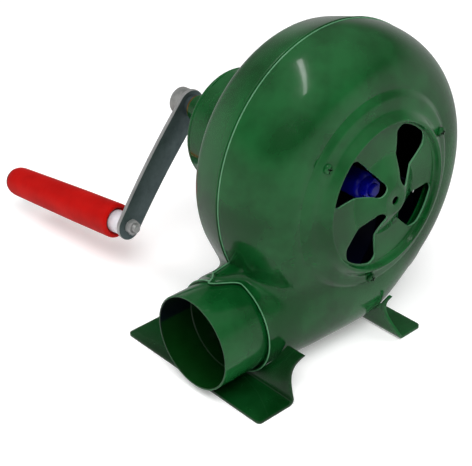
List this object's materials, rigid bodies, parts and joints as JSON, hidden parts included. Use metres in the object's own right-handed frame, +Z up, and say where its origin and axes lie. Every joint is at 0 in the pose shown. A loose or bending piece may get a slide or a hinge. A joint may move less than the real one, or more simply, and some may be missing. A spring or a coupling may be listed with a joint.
{
  "type": "hand-crank centrifugal blower",
  "caption": "Hand-cranked centrifugal blower with a spiral sheet-steel housing, a round outlet nozzle, a perforated inlet cover, folded feet, a geared drive and a crank with a grip.",
  "frame": {"origin": "on the ground, under the centre of the bounding box", "axes": "+Z up; +Y along the fan and crank shafts, from the inlet to the crank; the outlet nozzle points towards -X"},
  "size_m": [0.2264, 0.3286, 0.2132],
  "materials": {
    "green_enamel": "glossy green enamel on sheet steel",
    "blue_enamel": "blue enamel on sheet steel",
    "dark_steel": "dark plated steel",
    "bright_steel": "bare turned steel",
    "bronze": "plain bearing bronze",
    "cast_iron": "machined cast iron",
    "red_plastic": "matte moulded plastic",
    "white_plastic": "matte moulded plastic"
  },
  "bodies": {
    "housing": {"front_shell": "green_enamel", "back_shell": "green_enamel", "outlet_sleeve": "green_enamel", "inlet_cover": "green_enamel", "cover_screw_1": "green_enamel", "cover_screw_2": "green_enamel", "cover_screw_3": "green_enamel", "front_foot": "green_enamel", "rear_foot": "green_enamel", "gearbox_base": "green_enamel", "gearbox_drum": "green_enamel", "gearbox_cover": "green_enamel", "base_screw_1": "green_enamel", "base_screw_2": "green_enamel", "base_screw_3": "green_enamel", "tie_screw_1": "green_enamel", "tie_screw_2": "green_enamel", "tie_screw_3": "green_enamel", "shaft_bush": "bronze", "crank_bush": "bronze", "idler_axle": "bright_steel"},
    "fan": {"fan_disc": "blue_enamel", "fan_blade_1": "blue_enamel", "fan_blade_2": "blue_enamel", "fan_blade_3": "blue_enamel", "fan_blade_4": "blue_enamel", "fan_blade_5": "blue_enamel", "fan_blade_6": "blue_enamel", "fan_hub": "blue_enamel", "fan_rivet_1": "bright_steel", "fan_rivet_2": "bright_steel", "fan_rivet_3": "bright_steel", "fan_nut": "bright_steel", "fan_shaft": "bright_steel", "output_pinion": "bright_steel"},
    "idler": {"idler_gear": "cast_iron", "idler_pinion": "bright_steel"},
    "crank": {"crank_gear": "cast_iron", "crank_shaft": "bright_steel", "crank_spacer": "dark_steel", "crank_arm": "dark_steel", "crank_boss": "bright_steel", "grip_bolt": "bright_steel", "grip_nut": "bright_steel", "grip_collar": "white_plastic"},
    "grip": {"grip": "red_plastic"}
  },
  "joints": [
    {"name": "crank_turn", "type": "hinge", "parent": "housing", "child": "crank", "pos_m": [0.00881, 0.01568, 0.114], "axis": [0, 1, 0], "continuous": true},
    {"name": "idler_turn", "type": "hinge", "parent": "housing", "child": "idler", "pos_m": [0.00881, -0.03932, 0.135], "axis": [0, 1, 0], "continuous": true},
    {"name": "fan_turn", "type": "hinge", "parent": "housing", "child": "fan", "pos_m": [0.00881, -0.08232, 0.114], "axis": [0, 1, 0], "continuous": true},
    {"name": "grip_spin", "type": "hinge", "parent": "crank", "child": "grip", "pos_m": [-0.05689, 0.0274, 0.04129], "axis": [-0.0724, 0.9942, -0.0801], "continuous": true}
  ],
  "couplings": [
    {"joint": "idler_turn", "follows": "crank_turn", "ratio": -3.2},
    {"joint": "fan_turn", "follows": "crank_turn", "ratio": 10.24}
  ]
}
